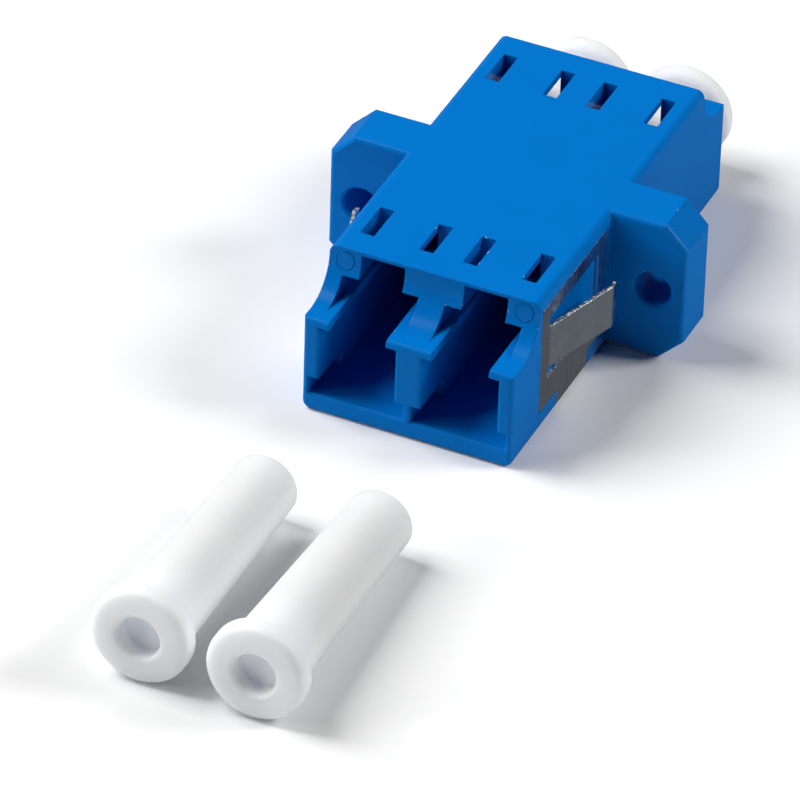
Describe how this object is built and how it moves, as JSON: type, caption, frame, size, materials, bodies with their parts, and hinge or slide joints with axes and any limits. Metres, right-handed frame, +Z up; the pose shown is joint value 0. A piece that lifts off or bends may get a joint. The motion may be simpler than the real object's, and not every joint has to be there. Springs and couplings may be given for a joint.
{
  "type": "lc fibre adapter",
  "caption": "Blue duplex fibre adapter with a mounting flange, a folded steel panel clip, split sleeves and white dust caps.",
  "frame": {"origin": "on the underside of the housing, midway between the two ports and midway along the body", "axes": "+X across the two ports, +Y along the plug direction towards the capped ports, +Z up from the underside"},
  "size_m": [0.022, 0.0588, 0.0091],
  "materials": {
    "blue_plastic": "satin moulded thermoplastic",
    "spring_steel": "rolled stainless strip",
    "zirconia": "polished white ceramic",
    "cap_plastic": "soft white polyethylene"
  },
  "bodies": {
    "adapter": {"housing": "blue_plastic", "panel_clip": "spring_steel", "sleeve_retainer_left": "blue_plastic", "sleeve_retainer_right": "blue_plastic", "split_sleeve_left": "zirconia", "split_sleeve_right": "zirconia", "loose_cap_left": "cap_plastic", "loose_cap_right": "cap_plastic"},
    "rear_cap_left": {"rear_cap_left": "cap_plastic"},
    "rear_cap_right": {"rear_cap_right": "cap_plastic"}
  },
  "joints": [
    {"name": "rear_cap_left_pull", "type": "slide", "parent": "adapter", "child": "rear_cap_left", "axis": [0, 1, 0], "range_m": [0, 0.018]},
    {"name": "rear_cap_right_pull", "type": "slide", "parent": "adapter", "child": "rear_cap_right", "axis": [0, 1, 0], "range_m": [0, 0.018]}
  ]
}
